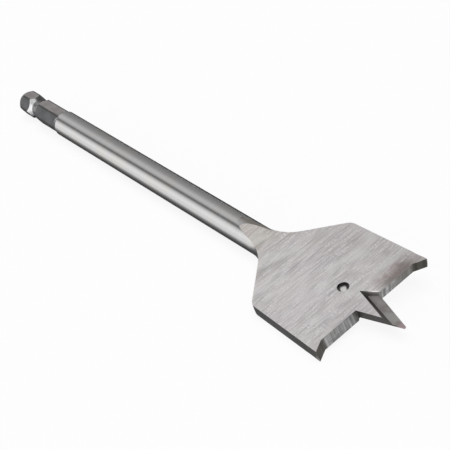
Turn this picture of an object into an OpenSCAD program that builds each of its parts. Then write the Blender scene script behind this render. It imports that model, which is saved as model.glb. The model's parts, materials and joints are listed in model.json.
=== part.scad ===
// Spade drill bit: a flat blade with a centre point and outer spurs, on a round
// shank with a grooved hex drive. One piece of steel, lying on a level surface.
// The axis runs along X with the point at +X. The origin is on the surface, under
// the axis, at the middle of the length.

/* [Overall] */
// Length from the end of the hex to the tip of the point
overall_len = 160; // [140:1:220]
// Diameter swept by the outer spurs, which is the hole that the bit drills
blade_d = 35; // [30:0.5:40]
// Thickness of the blade
blade_t = 2.9; // [2.6:0.1:3.4]

/* [Shank] */
// Diameter of the round shank, wider than the hex over its corners
shank_d = 7.5; // [7.4:0.1:9]
// Hex drive across its flats
hex_af = 6.35; // [6:0.05:6.4]
// Length of the hex drive up to the full round of the shank
hex_len = 21.5; // [18:0.5:30]
// Turn of the hex about the axis, from corners level with the blade
hex_turn = -10.5; // [-30:0.5:30]
// Slope of the cone where the flats run out into the round, in degrees
runout_angle = 20; // [12:1:40]
// Diameter of the flat end of the hex
end_d = 5.5; // [4:0.1:6]
// Slope of the chamfer round the end of the hex, in degrees
end_angle = 30; // [20:1:45]

/* [Retaining groove] */
// Middle of the groove, from the end of the hex
groove_x = 7.8; // [7:0.1:9.5]
// Diameter at the bottom of the groove
groove_d = 5.1; // [4.6:0.1:5.6]
// Width of the bottom of the groove
groove_w = 1.8; // [1:0.1:2.6]
// Slope of the sides of the groove, in degrees
groove_angle = 35; // [30:1:60]

/* [Neck] */
// Slope of the shoulders from the axis, in degrees
shoulder_angle = 47.5; // [40:0.5:60]
// Radius of the fillet from the shank into the shoulders
neck_r = 9; // [4:0.5:12]
// Slope of the flats that run out on the shank, in degrees
flat_angle = 9.3; // [7:0.1:14]
// Radius that blends those flats into the faces of the blade
flat_blend_r = 25; // [10:1:40]

/* [Blade] */
// Length of the sides, from the shoulder corners to the spur tips
side_len = 23.7; // [20:0.1:30]
// Back taper: how far each shoulder corner lies inside the spur tips
side_taper = 1; // [0.4:0.1:1.6]
// Radius of the shoulder corners
corner_r = 3; // [1:0.5:6]
// Diameter of the hole in the blade
hole_d = 3; // [2:0.1:5]
// Distance of that hole behind the cutting lips
hole_back = 8; // [7:0.1:10]

/* [Cutting edges] */
// Length of the centre point ahead of the lips
point_len = 11.5; // [9:0.1:13]
// Width of the centre point at the lips
point_w = 7; // [6:0.1:8]
// Width of the blunt tip of the centre point
tip_w = 0.4; // [0.2:0.1:1]
// Height of the outer spurs ahead of the lips
spur_h = 1.65; // [1:0.05:2.5]
// Width of the outer spurs
spur_w = 3.1; // [2:0.1:4]
// Clearance behind the cutting edges, in degrees
clearance = 10; // [5:0.5:12]
// Radius of the hollow ground along each lip
hollow_r = 10; // [8:0.5:14]
// Depth of that hollow
hollow_depth = 0.12; // [0.08:0.01:0.16]
// Distance of the middle of that hollow behind the lip
hollow_back = 1.2; // [1.1:0.05:1.4]

/* [Recess of the point] */
// Width of the recess, from the edge of the point to the top of its wall
recess_w = 3.2; // [2.8:0.1:3.6]
// Drop of the point's edge below the face of the blade, at the lips
edge_drop = 0.9; // [0.7:0.05:1]
// Fall of the point's edge toward the tip, in degrees
edge_fall = 1.5; // [0.5:0.5:2]
// Slope of the recess floor, down from the edge of the point, in degrees
recess_rake = 5; // [3:0.5:7]
// Slope of the wall along the point, in degrees
wall_angle = 48; // [40:1:60]
// How far the recess reaches back behind the lips
recess_back = 4; // [3:0.1:5]
// Slope of the wall at the back of the recess, in degrees
back_wall_angle = 65; // [50:1:75]
// Direction of that back wall, in degrees from the axis
back_wall_turn = 30; // [24:1:36]

/* [Hidden] */
$fn = 96;
// Length by which cutting shapes reach past the steel
past = 4;
// Size of the blocks that stand for half-spaces
reach = 2 * blade_d;
hex_corner_d = hex_af / cos(30);
shank_r = shank_d / 2;
half_t = blade_t / 2;
spur_r = blade_d / 2;
lip_x = overall_len - point_len;
spur_x = lip_x + spur_h;
shoulder_x = spur_x - side_len;
shoulder_r = spur_r - side_taper;
side_angle = atan(side_taper / side_len);
// Where the line of the shoulders would meet the line of the shank
neck_x = shoulder_x - (shoulder_r - shank_r) / tan(shoulder_angle);
neck_run = neck_r * tan(shoulder_angle / 2);
flat_end_x = neck_x + neck_run * cos(shoulder_angle);
flat_run = flat_blend_r * tan(flat_angle / 2);
runout_len = (shank_d - groove_d) / 2 / tan(runout_angle);
point_angle = atan((point_w - tip_w) / 2 / point_len);
// The recess starts where its two walls meet on the face of the blade
recess_x = lip_x - recess_back;
recess_y = tip_w / 2 + (overall_len - recess_x) * tan(point_angle) - recess_w / cos(point_angle);
// Roll about the axis that brings one spur down to the surface under the shank
rest_roll = asin(shank_r / spur_r) - asin(half_t / spur_r);

// Points along an arc
function arc(centre, radius, from, to, steps = 12) =
    [for (i = [0:steps])
        let (a = from + (to - from) * i / steps)
        centre + radius * [cos(a), sin(a)]];

// Turns a profile of [distance along the axis, radius] about the X axis
module turned(profile) {
    rotate([0, 90, 0])
        rotate_extrude()
            polygon([for (p = profile) [p.y, p.x]]);
}

// Everything above a plane that contains the local X and Y axes
module above_plane() {
    translate([-reach / 2, -reach / 2, 0])
        cube(reach);
}

// A shape and its copy half a turn round the axis
module both_halves() {
    children();
    rotate([180, 0, 0])
        children();
}

// Turned outline of the shank, neck, shoulders and sides
module turned_body() {
    corner_run = corner_r * tan((shoulder_angle - side_angle) / 2);
    corner_centre = [shoulder_x - corner_run * cos(shoulder_angle) + corner_r * sin(shoulder_angle),
                     shoulder_r - corner_run * sin(shoulder_angle) - corner_r * cos(shoulder_angle)];
    turned(concat(
        [[hex_len - runout_len, 0], [hex_len - runout_len, groove_d / 2], [hex_len, shank_r]],
        arc([neck_x - neck_run, shank_r + neck_r], neck_r, 270, 270 + shoulder_angle),
        arc(corner_centre, corner_r, 90 + shoulder_angle, 90 + side_angle, 6),
        [[overall_len, spur_r + (overall_len - spur_x) * tan(side_angle)], [overall_len, 0]]));
}

// Side view of the steel: full height on the shank, then flats down to the blade
module flattened_side() {
    high = shank_d;
    blend = arc([flat_end_x + flat_run, half_t + flat_blend_r], flat_blend_r, 270 - flat_angle, 270, 8);
    top = concat(
        [[0, high], [flat_end_x - (high - half_t) / tan(flat_angle), high]],
        blend,
        [[overall_len + 2 * past, half_t]]);
    bottom = [for (i = [len(top) - 1:-1:0]) [top[i].x, -top[i].y]];
    rotate([90, 0, 0])
        linear_extrude(blade_d + 4 * past, center = true)
            polygon(concat(top, bottom));
}

// Hex drive with a chamfered end and a turned groove
module hex_drive() {
    wide = hex_corner_d;
    flank = (wide - groove_d / 2) / tan(groove_angle);
    difference() {
        intersection() {
            rotate([0, 90, 0])
                rotate([0, 0, hex_turn + 90])
                    cylinder(h = hex_len + 1, d = hex_corner_d, $fn = 6);
            turned([[0, 0], [0, end_d / 2], [(wide - end_d / 2) / tan(end_angle), wide],
                    [hex_len + past, wide], [hex_len + past, 0]]);
        }
        turned([[groove_x - groove_w / 2, groove_d / 2],
                [groove_x - groove_w / 2 - flank, wide],
                [groove_x + groove_w / 2 + flank, wide],
                [groove_x + groove_w / 2, groove_d / 2]]);
    }
}

// Steel ahead of one lip, one spur and one side of the point, leaning back below
// the cutting edge
module ahead_of_lip() {
    lean = cos(clearance);
    front = overall_len + 2 * past;
    outline = [[lip_x, point_w / 2], [lip_x, spur_r - spur_w], [spur_x, spur_r], [spur_x, blade_d],
               [front, blade_d], [front, tip_w / 2 + (overall_len - front) * tan(point_angle)]];
    translate([lip_x, 0, 0])
        rotate([0, clearance, 0])
            linear_extrude(2 * shank_d, center = true)
                polygon([for (p = outline) [(p.x - lip_x) * lean, p.y]]);
}

// Hollow ground into the face along one lip
module lip_hollow() {
    translate([lip_x - hollow_back, recess_y + 1, half_t + hollow_r - hollow_depth])
        rotate([-90, 0, 0])
            cylinder(h = blade_d, r = hollow_r);
}

// Recess on one side of the point: a floor that falls away from the edge, a wall
// along the point and a wall at the back
module point_recess() {
    intersection() {
        translate([lip_x, point_w / 2, half_t - edge_drop])
            rotate([0, 0, -point_angle])
                rotate([recess_rake, edge_fall, 0])
                    above_plane();
        translate([recess_x, recess_y, half_t])
            rotate([0, 0, -point_angle])
                rotate([-wall_angle, 0, 0])
                    above_plane();
        translate([recess_x, recess_y, half_t])
            rotate([0, 0, back_wall_turn])
                rotate([back_wall_angle, 0, 0])
                    above_plane();
    }
}

// The bit along its own axis, with the end of the hex at zero
module bit_on_axis() {
    difference() {
        intersection() {
            turned_body();
            flattened_side();
        }
        both_halves() {
            ahead_of_lip();
            lip_hollow();
            point_recess();
        }
        translate([lip_x - hole_back, 0, 0])
            cylinder(h = 2 * shank_d, d = hole_d, center = true);
    }
    hex_drive();
}

module spade_bit() {
    color("silver")
        translate([-overall_len / 2, 0, shank_r])
            rotate([rest_roll, 0, 0])
                bit_on_axis();
}

spade_bit();
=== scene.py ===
import json
import math
from types import SimpleNamespace

import bpy
from mathutils import Matrix, Vector


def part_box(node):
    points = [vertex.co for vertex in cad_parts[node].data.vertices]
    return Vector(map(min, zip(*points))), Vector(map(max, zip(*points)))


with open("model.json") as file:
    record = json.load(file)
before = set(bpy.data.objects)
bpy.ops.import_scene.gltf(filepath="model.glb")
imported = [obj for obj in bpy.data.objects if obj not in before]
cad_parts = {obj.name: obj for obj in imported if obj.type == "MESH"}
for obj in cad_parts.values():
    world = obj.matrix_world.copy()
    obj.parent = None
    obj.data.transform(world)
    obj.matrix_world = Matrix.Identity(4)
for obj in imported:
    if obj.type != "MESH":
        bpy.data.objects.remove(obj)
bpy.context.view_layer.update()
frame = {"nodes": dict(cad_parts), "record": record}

MM = 0.001
NODE = "spade_bit"

# Places on the bit, in metres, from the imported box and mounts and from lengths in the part's source
mounts = {mount["name"]: mount for mount in frame["record"]["mounts"]}
shank, hole = mounts["round_shank"], mounts["blade_hole"]
low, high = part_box(NODE)
axis_z = shank["pos_m"][2]
shank_r = shank["dims"]["r_mm"] * MM
half_shank = shank["dims"]["length_mm"] * MM / 2
past_groove_x = low.x + 12 * MM
hex_end_x = shank["pos_m"][0] - half_shank
neck_x = shank["pos_m"][0] + half_shank
flats_x = neck_x - 7.1 * MM
hole_x = hole["pos_m"][0]
hole_r = hole["dims"]["r_mm"] * MM
lip_x = hole_x + 8 * MM
spur_y = high.y - 3.1 * MM
recess_x, recess_y = lip_x - 4 * MM, 1.31 * MM
back_wall_turn = math.radians(30)
point_y = 3.5 * MM
half_t = hole["dims"]["length_mm"] * MM / 2
roll = math.atan2(-hole["axis"][1], hole["axis"][2])
# Distances from the axis that tell the floor of the groove, the flats of the hex and its ridges apart
groove_floor_r, hex_flats_r, hex_ridge_r = 2.6 * MM, 2.8 * MM, 3.51 * MM


class Graph:
    """Short names for the nodes of one material or world."""

    def __init__(self, tree):
        self.tree = tree
        tree.nodes.clear()

    def add(self, kind, inputs=None, **settings):
        node = self.tree.nodes.new(kind)
        for name, value in settings.items():
            setattr(node, name, value)
        for name, value in (inputs or {}).items():
            if isinstance(value, bpy.types.NodeSocket):
                self.tree.links.new(value, node.inputs[name])
            else:
                node.inputs[name].default_value = value
        return node

    def calc(self, operation, a, b=0.0):
        return self.add("ShaderNodeMath", {0: a, 1: b}, operation=operation).outputs[0]

    def product(self, *factors):
        result = factors[0]
        for factor in factors[1:]:
            result = self.calc("MULTIPLY", result, factor)
        return result

    def span(self, value, start, end, to_start=0.0, to_end=1.0):
        """A smooth step of value from start to end."""
        inputs = {"Value": value, "From Min": start, "From Max": end, "To Min": to_start, "To Max": to_end}
        return self.add("ShaderNodeMapRange", inputs, interpolation_type="SMOOTHSTEP").outputs["Result"]

    def wave(self, noise, to_start=0.0, to_end=1.0):
        """The usual swing of a noise about its middle."""
        return self.span(noise, 0.35, 0.65, to_start, to_end)

    def outside(self, region):
        return self.span(region, 1.0, 0.0)

    def mix(self, share, a, b, blend="MIX"):
        """A colour that goes from a to b, by the colour inputs 6 and 7 of the node."""
        node = self.add("ShaderNodeMix", data_type="RGBA", blend_type=blend)
        for index, value in ((0, share), (6, a), (7, b)):
            if isinstance(value, bpy.types.NodeSocket):
                self.tree.links.new(value, node.inputs[index])
            else:
                node.inputs[index].default_value = (*value, 1) if index else value
        return node.outputs[2]

    def layers(self, tone, *layers):
        """A colour with others laid over it in turn, each with its share and, where it has one, its blend."""
        for share, *colour_and_blend in layers:
            tone = self.mix(share, tone, *colour_and_blend)
        return tone

    def blend(self, share, a, b):
        """A number that goes from a to b, by the number inputs 2 and 3 of the node."""
        return self.add("ShaderNodeMix", {0: share, 2: a, 3: b}, data_type="FLOAT").outputs[0]

    def levels(self, value, *levels):
        """A number with others put over it in turn, each with its share."""
        for share, level in levels:
            value = self.blend(share, value, level)
        return value

    def noise(self, vector, stretch, detail):
        """Noise about 0.5, with stretch cycles a metre along each axis."""
        scaled = self.add("ShaderNodeVectorMath", {0: vector, 1: stretch}, operation="MULTIPLY").outputs[0]
        inputs = {"Vector": scaled, "Scale": 1.0, "Detail": detail}
        return self.add("ShaderNodeTexNoise", inputs).outputs["Fac"]

    def parts(self, vector):
        return self.add("ShaderNodeSeparateXYZ", {0: vector}).outputs[:]

    def length(self, a, b):
        flat = self.add("ShaderNodeCombineXYZ", {0: a, 1: b}).outputs[0]
        return self.add("ShaderNodeVectorMath", {0: flat}, operation="LENGTH").outputs["Value"]

    def dot(self, a, b):
        return self.add("ShaderNodeVectorMath", {0: a, 1: b}, operation="DOT_PRODUCT").outputs["Value"]

    def unrolled(self, vector, centre=(0, 0, 0)):
        """A place or a direction in the blade's own frame, without the roll that it lies at."""
        inputs = {"Vector": vector, "Center": centre, "Angle": -roll}
        return self.add("ShaderNodeVectorRotate", inputs, rotation_type="X_AXIS").outputs[0]


def surface(graph):
    """Where a point of the steel lies and faces, in the blade's own frame."""
    normal = graph.add("ShaderNodeNewGeometry").outputs["True Normal"]
    place = graph.unrolled(graph.add("ShaderNodeTexCoord").outputs["Object"], (0, 0, axis_z))
    x, y, z = graph.parts(place)
    facing = graph.unrolled(normal)
    forward, across, up = graph.parts(facing)
    height = graph.calc("SUBTRACT", z, axis_z)
    return SimpleNamespace(
        normal=normal, place=place, x=x, y=y, height=height,
        facing=facing, forward=forward, across=across, up=up,
        aside=graph.calc("ABSOLUTE", y),
        from_axis=graph.length(y, height),
        flatness=graph.calc("ABSOLUTE", up),
        # Distance toward the lip that cuts on this face, plain and weighted by how level the steel is
        lipward=graph.calc("MULTIPLY", y, graph.calc("SIGN", up)),
        lipward_level=graph.calc("MULTIPLY", y, up),
    )


def ground_flats(graph, at):
    """Ground faces, which start on a bow across the flats of the neck, and a painted shade behind the bow on
    the far side, standing in for the dark band of the round shank.
    """
    bow_x, bow_y, bow_width = flats_x + 1.6 * MM, -0.9 * MM, 1.82 * MM
    flat = graph.product(graph.span(at.flatness, 0.93, 0.95), graph.span(at.x, flats_x - 0.5 * MM, flats_x))
    off_tip = graph.calc("MAXIMUM", graph.calc("SUBTRACT", at.lipward, bow_y), 0.0)
    bow = graph.product(off_tip, off_tip, 1 / bow_width)
    past_bow = graph.calc("SUBTRACT", graph.calc("SUBTRACT", at.x, bow_x), bow)
    past_neck = graph.span(at.x, neck_x + 0.5 * MM, neck_x + 2.5 * MM)
    ground = graph.calc("MAXIMUM", graph.span(past_bow, -0.3 * MM, 0.2 * MM), past_neck)
    # Painted shade on the far side of the flats, behind the bow
    skin = graph.product(flat, graph.outside(ground), graph.span(at.lipward, -0.8 * MM, 1.2 * MM))
    return graph.product(flat, ground), skin


def regions(graph, at):
    """Parts of the steel, each a share from 0 to 1."""
    on = SimpleNamespace()
    on.face, on.skin = ground_flats(graph, at)

    # Cut edges of the blade: lip fronts, spurs, walls of the recess, the hole and plain sides
    on.blade = graph.span(at.x, neck_x + 2 * MM, neck_x + 9 * MM)
    on.edge = graph.product(graph.span(at.flatness, 0.85, 0.75), on.blade)
    on.front = graph.product(graph.span(at.forward, 0.5, 0.6), on.edge)
    on.spur = graph.product(graph.span(at.aside, spur_y - 1.2 * MM, spur_y + 0.4 * MM), on.front)
    at_point = graph.span(at.x, recess_x - 1 * MM, recess_x - 0.5 * MM)
    on.wall = graph.product(graph.span(at.flatness, 0.25, 0.35), at_point, on.edge)
    from_hole = graph.length(graph.calc("SUBTRACT", at.x, hole_x), at.y)
    on.bore = graph.product(graph.span(from_hole, hole_r + 0.1 * MM, hole_r + 0.05 * MM), on.edge)
    on.side = graph.product(on.edge, graph.outside(on.front), graph.outside(on.wall), graph.outside(on.bore))

    # Floor of the recess, the tip with a painted pink reflection, and the face behind the lip with its heat
    # tint and painted shade of the hollow
    sunk = graph.span(graph.calc("ABSOLUTE", at.height), half_t - 0.2 * MM, half_t - 0.4 * MM)
    on.recess = graph.product(sunk, at_point, on.face)
    on.tip = graph.span(at.x, high.x - 2.4 * MM, high.x - 0.8 * MM)
    by_spur = graph.span(at.aside, spur_y + 2 * MM, spur_y - 2 * MM, 0.4, 1.0)
    cutting = graph.product(graph.span(at.lipward_level, 3 * MM, 8 * MM), by_spur, on.face)
    on.heat = graph.product(cutting, graph.span(at.x, lip_x - 4.8 * MM, lip_x - 2.2 * MM))
    on.lip_strip = graph.product(cutting, graph.span(at.x, lip_x - 2.6 * MM, lip_x - 0.8 * MM))

    # Flats of the hex, of which two pairs are dark in painted shade, and the groove, with its floor and its
    # lit half, for painted shade and a painted highlight
    within_hex = graph.span(at.x, hex_end_x + 0.1 * MM, hex_end_x - 0.1 * MM)
    along_axis = graph.span(graph.calc("ABSOLUTE", at.forward), 0.1, 0.05)
    out_at_flats = graph.span(at.from_axis, hex_flats_r - 0.1 * MM, hex_flats_r + 0.1 * MM)
    on.hex_flat = graph.product(within_hex, along_axis, out_at_flats)
    on.dark_flat = graph.product(on.hex_flat, graph.span(graph.calc("ABSOLUTE", at.across), 0.4, 0.5))
    on.groove = graph.span(at.x, past_groove_x + 2 * MM, past_groove_x)
    in_groove = graph.span(at.from_axis, groove_floor_r + 0.02 * MM, groove_floor_r - 0.02 * MM)
    on.groove_floor = graph.product(on.groove, in_groove)
    on.lit_half = graph.span(at.across, 0.2, -0.15)
    return on


def textures(graph, place):
    """Noises of the steel: cycles a metre along each axis, and detail."""
    kinds = {
        "lines": ((2000, 190, 0), 3.0),
        "grain": ((2800, 1900, 0), 2.0),
        "broad": ((420, 60, 0), 2.0),
        "cloud": ((120, 90, 60), 2.0),
        "patch": ((210, 140, 200), 2.0),
        "mottle": ((330, 520, 400), 3.0),
        "scores": ((1300, 70, 0), 2.0),
        "streak": ((60, 1700, 60), 3.0),
        "chip": ((500, 800, 700), 2.0),
        "turned": ((4200, 30, 30), 2.0),
    }
    return SimpleNamespace(**{name: graph.noise(place, *kind) for name, kind in kinds.items()})


def face_tone(graph, at, on, noise):
    """Ground faces: lines and grain, soft tints, scores toward the neck, a heat tint with painted shade of
    the hollow behind the lip, and painted shade toward the lip's side.
    """
    toward_neck = graph.span(at.x, hole_x - 8 * MM, neck_x + 4 * MM)
    scored = graph.product(graph.span(noise.scores, 0.53, 0.66, 0.0, 0.8), toward_neck)
    at_neck = graph.span(at.x, neck_x + 9 * MM, neck_x - 1 * MM, 0.0, 0.8)
    # Painted shade that grows across the face toward the side of its lip
    painted_shade_by_lip = graph.span(at.lipward_level, 2 * MM, 14 * MM, 0.0, 0.8)
    ahead = graph.span(at.x, hole_x + 2 * MM, lip_x + 4 * MM, 0.0, 0.7)
    return graph.layers(
        graph.mix(graph.wave(noise.lines), (0.60, 0.57, 0.58), (1.0, 0.97, 0.98)),
        (graph.span(noise.grain, 0.4, 0.62, 0.0, 0.75), (0.62, 0.595, 0.60)),
        (graph.wave(noise.broad, 0.0, 0.35), (0.97, 0.95, 0.91)),
        (graph.wave(noise.cloud, 0.0, 0.4), (0.93, 0.86, 0.90)),
        (graph.span(noise.patch, 0.5, 0.7, 0.0, 0.4), (0.96, 0.98, 0.955)),
        (scored, (0.58, 0.57, 0.52)),
        # Heat tint with painted shade of the hollow behind the lip, and painted shade on the strip by the lip
        (graph.product(on.heat, graph.wave(noise.mottle, 0.4, 1.0)), (0.68, 0.61, 0.595), "MULTIPLY"),
        (graph.product(on.lip_strip, graph.wave(noise.mottle, 0.95, 0.55)), (0.50, 0.49, 0.475), "MULTIPLY"),
        (at_neck, (0.93, 0.915, 0.855), "MULTIPLY"),
        (painted_shade_by_lip, (0.9, 0.895, 0.885), "MULTIPLY"),
        (ahead, (0.88, 0.87, 0.855), "MULTIPLY"),
    )


def front_tone(graph, at, noise):
    """Lip fronts: streaks and chips on a painted dark reflection, a painted shade in the inner corner, and
    brown toward the higher spur.
    """
    by_point = graph.span(at.aside, point_y + 1.3 * MM, point_y + 0.1 * MM, 0.0, 0.75)
    # Painted shade in the inner corner by the point
    painted_corner_shade = graph.product(by_point, graph.span(at.up, 0.0, 0.1))
    toward_spur = graph.span(at.y, spur_y - 9 * MM, spur_y - 1 * MM)
    browned = graph.product(toward_spur, graph.span(noise.patch, 0.3, 0.7, 0.6, 0.95))
    return graph.layers(
        graph.mix(graph.span(noise.streak, 0.3, 0.7), (0.18, 0.18, 0.178), (0.41, 0.415, 0.41)),
        (graph.span(noise.chip, 0.4, 0.7, 0.0, 0.6), (0.15, 0.148, 0.145)),
        (painted_corner_shade, (0.05, 0.048, 0.045)),
        (browned, (0.125, 0.115, 0.10)),
    )


def spur_tone(graph, noise):
    """Spurs: dark streaks on a painted dark reflection."""
    return graph.mix(graph.span(noise.streak, 0.25, 0.75), (0.05, 0.046, 0.04), (0.085, 0.08, 0.068))


def side_tone(graph, at, noise):
    """Sides: dark along the point, and dark with faint clouds along the blade, a painted dark reflection."""
    outer = graph.mix(graph.wave(noise.cloud), (0.045, 0.043, 0.042), (0.065, 0.063, 0.061))
    return graph.mix(graph.span(at.aside, spur_y - 3 * MM, spur_y), (0.06, 0.056, 0.055), outer)


def wall_tone(graph, at):
    """Walls of the recess in painted shade: darkest at the back of the point's wall, lighter toward the tip,
    and lighter still on the back wall.
    """
    toward_tip = graph.span(at.x, lip_x - 3 * MM, lip_x + 7 * MM)
    along_point = graph.mix(toward_tip, (0.14, 0.125, 0.12), (0.30, 0.285, 0.275))
    return graph.mix(graph.span(at.forward, 0.25, 0.4), along_point, (0.34, 0.325, 0.32))


def recess_tone(graph, at, noise):
    """Floor of the recess: brownish at the back, where it is darker by the wall in painted shade, with
    mottles.
    """
    toward_tip = graph.span(at.x, recess_x, recess_x + 10 * MM)
    plain = graph.mix(toward_tip, (0.30, 0.265, 0.27), (0.41, 0.40, 0.385))
    return graph.mix(graph.span(noise.mottle, 0.4, 0.65, 0.0, 0.6), plain, (0.21, 0.175, 0.175))


def bore_tone(graph, at):
    """The hole: dark in painted shade, with a painted highlight in a spot low on one side."""
    toward_spot = graph.span(graph.dot(at.facing, (0.88, -0.48, 0)), 0.8, 0.97)
    # A painted highlight low on one side of the hole
    painted_spot_highlight = graph.product(toward_spot, graph.span(at.height, 0.5 * MM, -0.3 * MM))
    return graph.mix(painted_spot_highlight, (0.02, 0.018, 0.018), (0.6, 0.59, 0.59))


def shank_tone(graph, noise):
    """The shank: fine turned rings with warm patches."""
    rings = graph.mix(graph.wave(noise.turned), (0.615, 0.61, 0.615), (0.675, 0.665, 0.67))
    return graph.mix(graph.span(noise.patch, 0.4, 0.65, 0.0, 0.6), rings, (0.65, 0.635, 0.60))


def groove_tone(graph, at, on):
    """The groove: a painted highlight on the flank of the lit half, with painted shade on its floor and
    underside.
    """
    return graph.layers(
        graph.mix(on.lit_half, (0.38, 0.375, 0.38), (0.98, 0.98, 0.985)),
        # Painted shade on the floor and underside of the groove
        (on.groove_floor, (0.22, 0.22, 0.225)),
        (graph.span(at.up, -0.1, -0.5), (0.05, 0.05, 0.05)),
    )


def hex_tone(graph, on, noise):
    """Flats of the hex: mottled grey, and darker in painted shade on the flats that stand steeply."""
    light = graph.mix(graph.wave(noise.mottle), (0.27, 0.252, 0.25), (0.34, 0.32, 0.316))
    dark = graph.mix(graph.wave(noise.mottle), (0.085, 0.087, 0.09), (0.12, 0.122, 0.126))
    return graph.mix(on.dark_flat, light, dark)


def edge_wear_and_painted_light(graph, at, on, noise, edges):
    """Worn edges of the blade with painted highlights, a painted highlight on the rim behind each recess and
    painted shade on the ridges of the hex.
    """
    near_lip = graph.span(at.x, lip_x - 1 * MM, lip_x - 0.4 * MM)
    cutting_edge = graph.span(graph.calc("MULTIPLY", at.y, at.height), 3 * MM * MM, 6 * MM * MM)
    leading = graph.product(cutting_edge, near_lip)
    turning = graph.span(graph.dot(edges, at.normal), 0.99, 0.9)
    # Worn edges, lighter, which also carry painted highlights
    wear_and_edge_highlight = graph.product(turning, on.blade, graph.outside(on.bore), graph.blend(leading, 0.15, 0.7))

    cos, sin = math.cos(back_wall_turn), math.sin(back_wall_turn)
    behind_wall = graph.calc("SUBTRACT", graph.product(at.lipward, cos), graph.product(at.x, sin))
    behind_wall = graph.calc("SUBTRACT", behind_wall, recess_y * cos - recess_x * sin)
    # A painted highlight on the rim behind the recess
    painted_rim_highlight = graph.product(
        graph.span(behind_wall, 0.4 * MM, 0.2 * MM),
        graph.span(behind_wall, -0.3 * MM, -0.1 * MM),
        graph.span(at.x, recess_x - 0.1 * MM, recess_x + 0.3 * MM),
        on.face,
        graph.span(at.x, lip_x + 0.2 * MM, lip_x - 0.5 * MM),
        graph.span(noise.chip, 0.35, 0.6),
    )
    # Painted shade along the ridges of the hex
    on_ridge = graph.span(at.from_axis, hex_ridge_r - 0.09 * MM, hex_ridge_r + 0.09 * MM, 0.0, 0.8)
    painted_ridge_shade = graph.product(on_ridge, on.hex_flat)
    return wear_and_edge_highlight, painted_rim_highlight, painted_ridge_shade


def steel():
    """Bright steel: ground on the blade, streaked where it is cut, polished on the shank, dark on the hex,
    with painted shade, highlights and reflections on the cut faces, recess, hole, groove, hex and edges.
    """
    material = bpy.data.materials.new("steel_ground")
    material.use_nodes = True
    graph = Graph(material.node_tree)
    at = surface(graph)
    on = regions(graph, at)
    noise = textures(graph, at.place)
    edges = graph.add("ShaderNodeBevel", {"Radius": 0.12 * MM}, samples=4).outputs[0]
    wear_and_edge_highlight, painted_rim_highlight, painted_ridge_shade = edge_wear_and_painted_light(graph, at, on, noise, edges)

    tone = graph.layers(
        shank_tone(graph, noise),
        (on.groove, groove_tone(graph, at, on)),
        # Flats of the hex, the steep ones in painted shade
        (on.hex_flat, hex_tone(graph, on, noise)),
        # Painted shade behind the bow of the ground faces
        (on.skin, (0.30, 0.275, 0.255)),
        (on.face, face_tone(graph, at, on, noise)),
        # Sides, lip fronts and spurs: painted dark reflection
        (on.edge, side_tone(graph, at, noise)),
        (on.front, front_tone(graph, at, noise)),
        (on.spur, spur_tone(graph, noise)),
        # Painted shade on the walls of the recess
        (on.wall, wall_tone(graph, at)),
        # Painted shade at the back of the recess floor
        (on.recess, recess_tone(graph, at, noise)),
        (on.bore, bore_tone(graph, at)),
        # A painted pink reflection on the tip
        (graph.product(on.tip, 0.75), (0.50, 0.36, 0.38)),
        # Worn edges with painted highlights
        (wear_and_edge_highlight, (0.8, 0.79, 0.785)),
        # Painted highlight on the rim behind the recess
        (painted_rim_highlight, (0.95, 0.94, 0.93)),
        # Painted shade on the ridges of the hex
        (painted_ridge_shade, (0.03, 0.03, 0.03)),
    )
    roughness = graph.levels(
        graph.span(noise.turned, 0.3, 0.7, 0.17, 0.22),
        (on.hex_flat, 0.5),
        (on.face, graph.span(noise.lines, 0.3, 0.7, 0.52, 0.44)),
        (on.edge, graph.span(noise.streak, 0.3, 0.7, 0.45, 0.36)),
        (on.bore, 0.15),
    )
    # Fine scratches on the ground faces scatter some light all round, and so do the sides, groove and hex
    lit_groove = graph.product(on.groove, on.lit_half)
    metallic = graph.levels(
        1.0,
        (on.face, 0.7),
        (painted_rim_highlight, 0.2),
        (on.side, 0.7),
        (lit_groove, 0.5),
        (on.hex_flat, 0.3),
    )

    ground = graph.blend(0.5, noise.lines, noise.grain)
    relief = graph.levels(noise.turned, (on.face, ground), (on.edge, noise.streak))
    strength = graph.blend(on.face, 0.04, 0.16)
    bump = graph.add(
        "ShaderNodeBump",
        {"Strength": strength, "Distance": 0.02 * MM, "Height": relief, "Normal": edges},
    )
    shader = graph.add(
        "ShaderNodeBsdfPrincipled",
        {"Base Color": tone, "Metallic": metallic, "Roughness": roughness, "Normal": bump.outputs[0]},
    )
    graph.add("ShaderNodeOutputMaterial", {"Surface": shader.outputs[0]})
    return material


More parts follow.
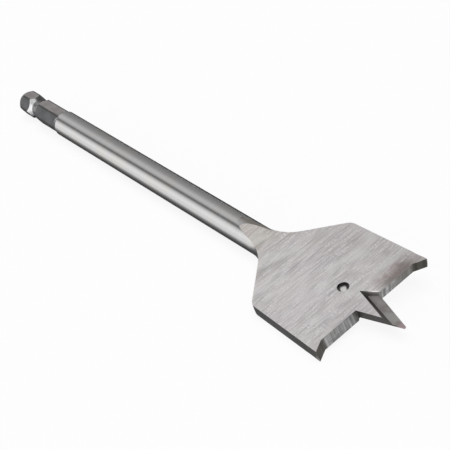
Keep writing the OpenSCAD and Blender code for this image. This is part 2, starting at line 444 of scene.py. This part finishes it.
def studio_world():
    """A soft tent round the bit's axis, white to the camera: a bright side, a grey top, a dim far side."""
    brightness = 1.15
    # Degrees from straight up, positive toward the far side, and the share of the brightness there
    stops = (
        (-180, 1.0), (-90, 1.0), (-78, 0.97), (-62, 0.8), (-50, 0.46), (-42, 0.17), (-34, 0.11),
        (-26, 0.38), (-15, 0.57), (0, 0.6), (12, 0.53), (22, 0.43), (32, 0.35), (45, 0.3),
        (58, 0.28), (70, 0.24), (85, 0.19), (95, 0.16), (140, 0.16), (180, 1.0),
    )
    world = bpy.data.worlds.new("studio")
    bpy.context.scene.world = world
    world.use_nodes = True
    graph = Graph(world.node_tree)
    x, y, z = graph.parts(graph.add("ShaderNodeTexCoord").outputs["Generated"])
    turn = graph.calc("ARCTAN2", y, z)
    around = graph.calc("ADD", graph.calc("MULTIPLY", turn, 0.5 / math.pi), 0.5)
    ramp = graph.add("ShaderNodeValToRGB", {"Fac": around})
    elements = ramp.color_ramp.elements
    while len(elements) < len(stops):
        elements.new(0.5)
    for element, (degrees, level) in zip(elements, stops):
        element.position = degrees / 360 + 0.5
        element.color = (level, level, level, 1)
    # The top and the far side grow darker ahead of the point
    overhead = graph.span(turn, math.radians(-40), math.radians(-25))
    dimming = graph.blend(overhead, 1.0, graph.span(x, -0.4, 0.1, 1.0, 0.45))
    strength = graph.product(dimming, brightness)
    seen = graph.add("ShaderNodeLightPath").outputs["Is Camera Ray"]
    color = graph.mix(seen, ramp.outputs[0], (1, 1, 1))
    strength = graph.blend(seen, strength, 1.0)
    background = graph.add("ShaderNodeBackground", {"Color": color, "Strength": strength})
    graph.add("ShaderNodeOutputWorld", {"Surface": background.outputs[0]})


def sheet(name, x_span, y_span, z):
    """A level rectangle of the set, which isn't part of the bit."""
    mesh = bpy.data.meshes.new(name)
    corners = [(x_span[i], y_span[j], z) for i, j in ((0, 0), (1, 0), (1, 1), (0, 1))]
    mesh.from_pydata(corners, [], [(0, 1, 2, 3)])
    plane = bpy.data.objects.new(name, mesh)
    bpy.context.scene.collection.objects.link(plane)
    material = bpy.data.materials.new(name)
    material.use_nodes = True
    mesh.materials.append(material)
    return plane, Graph(material.node_tree)


def floor():
    """A white table that keeps a faint shadow of the bit."""
    reach, glow = 3.0, 0.88
    _, graph = sheet("floor", (-reach, reach), (-reach, reach), low.z)
    path = graph.add("ShaderNodeLightPath")
    seen = graph.calc("MAXIMUM", path.outputs["Is Camera Ray"], path.outputs["Is Glossy Ray"])
    seen = graph.calc("MAXIMUM", seen, path.outputs["Is Transmission Ray"])
    matt = graph.add("ShaderNodeBsdfDiffuse", {"Color": (0.95, 0.95, 0.95, 1)})
    white = graph.add("ShaderNodeEmission", {"Color": (1, 1, 1, 1), "Strength": 1.0})
    share = graph.calc("MULTIPLY", seen, glow)
    mixed = graph.add("ShaderNodeMixShader", {0: share, 1: matt.outputs[0], 2: white.outputs[0]})
    graph.add("ShaderNodeOutputMaterial", {"Surface": mixed.outputs[0]})


def dark_card(name, x_span, front_y, full_y, back_y, cover):
    """A black card on the table with a soft front edge, seen only in the steel's gloss: a painted shadow that
    stands in for the shade under the bit.
    """
    lift = 0.05 * MM
    card, graph = sheet(name, x_span, (front_y, back_y), low.z + lift)
    for rays in ("camera", "diffuse", "transmission", "volume_scatter", "shadow"):
        setattr(card, "visible_" + rays, False)
    _, y, _ = graph.parts(graph.add("ShaderNodeTexCoord").outputs["Object"])
    clear = graph.add("ShaderNodeBsdfTransparent")
    black = graph.add("ShaderNodeBsdfDiffuse", {"Color": (0.03, 0.03, 0.03, 1)})
    share = graph.span(y, front_y, full_y, 0.0, cover)
    mixed = graph.add("ShaderNodeMixShader", {0: share, 1: clear.outputs[0], 2: black.outputs[0]})
    graph.add("ShaderNodeOutputMaterial", {"Surface": mixed.outputs[0]})


def dark_cards():
    """Cards that draw the dark lower edges of the shank and of the low side of the blade, as painted
    reflections of shade.
    """
    reach, split_x = 0.2, neck_x + 4 * MM
    dark_card(
        "shank_card", (low.x - reach, split_x),
        front_y=-4 * shank_r, full_y=-1.1 * shank_r, back_y=reach, cover=0.94,
    )
    dark_card(
        "blade_card", (split_x, lip_x),
        front_y=low.y - 6 * MM, full_y=low.y - 2 * MM, back_y=low.y + 8 * MM, cover=0.5,
    )


def fill_lamp():
    """A wide soft lamp overhead, unseen in the gloss, that brings the table up to white."""
    lamp = bpy.data.lights.new("fill", "AREA")
    lamp.shape = "DISK"
    lamp.size = 1.6
    lamp.energy = 15
    light = bpy.data.objects.new("fill", lamp)
    light.location = (0, 0, 1.5)
    light.visible_glossy = False
    bpy.context.scene.collection.objects.link(light)


def camera():
    """The photograph's view: from the front of the blade, looking back along the shank."""
    target = Vector((18.2 * MM, -1.5 * MM, axis_z))
    azimuth, elevation, lean = (math.radians(degrees) for degrees in (-31.69, 35.73, 12.18))
    distance = 0.3295
    level = math.cos(elevation)
    back = Vector((level * math.cos(azimuth), level * math.sin(azimuth), math.sin(elevation)))
    aim = back.to_track_quat("Z", "Y").to_matrix().to_4x4()
    lens = bpy.data.cameras.new("camera")
    lens.lens = 105.34
    lens.sensor_width = 36
    lens.clip_start = 0.01
    view = bpy.data.objects.new("camera", lens)
    view.matrix_world = Matrix.Translation(target + back * distance) @ aim @ Matrix.Rotation(-lean, 4, "Z")
    bpy.context.scene.collection.objects.link(view)
    bpy.context.scene.camera = view


bit = frame["nodes"][NODE]
bit.material_slots[0].material = steel()

studio_world()
floor()
dark_cards()
fill_lamp()
camera()
bpy.context.scene.view_settings.view_transform = "Standard"
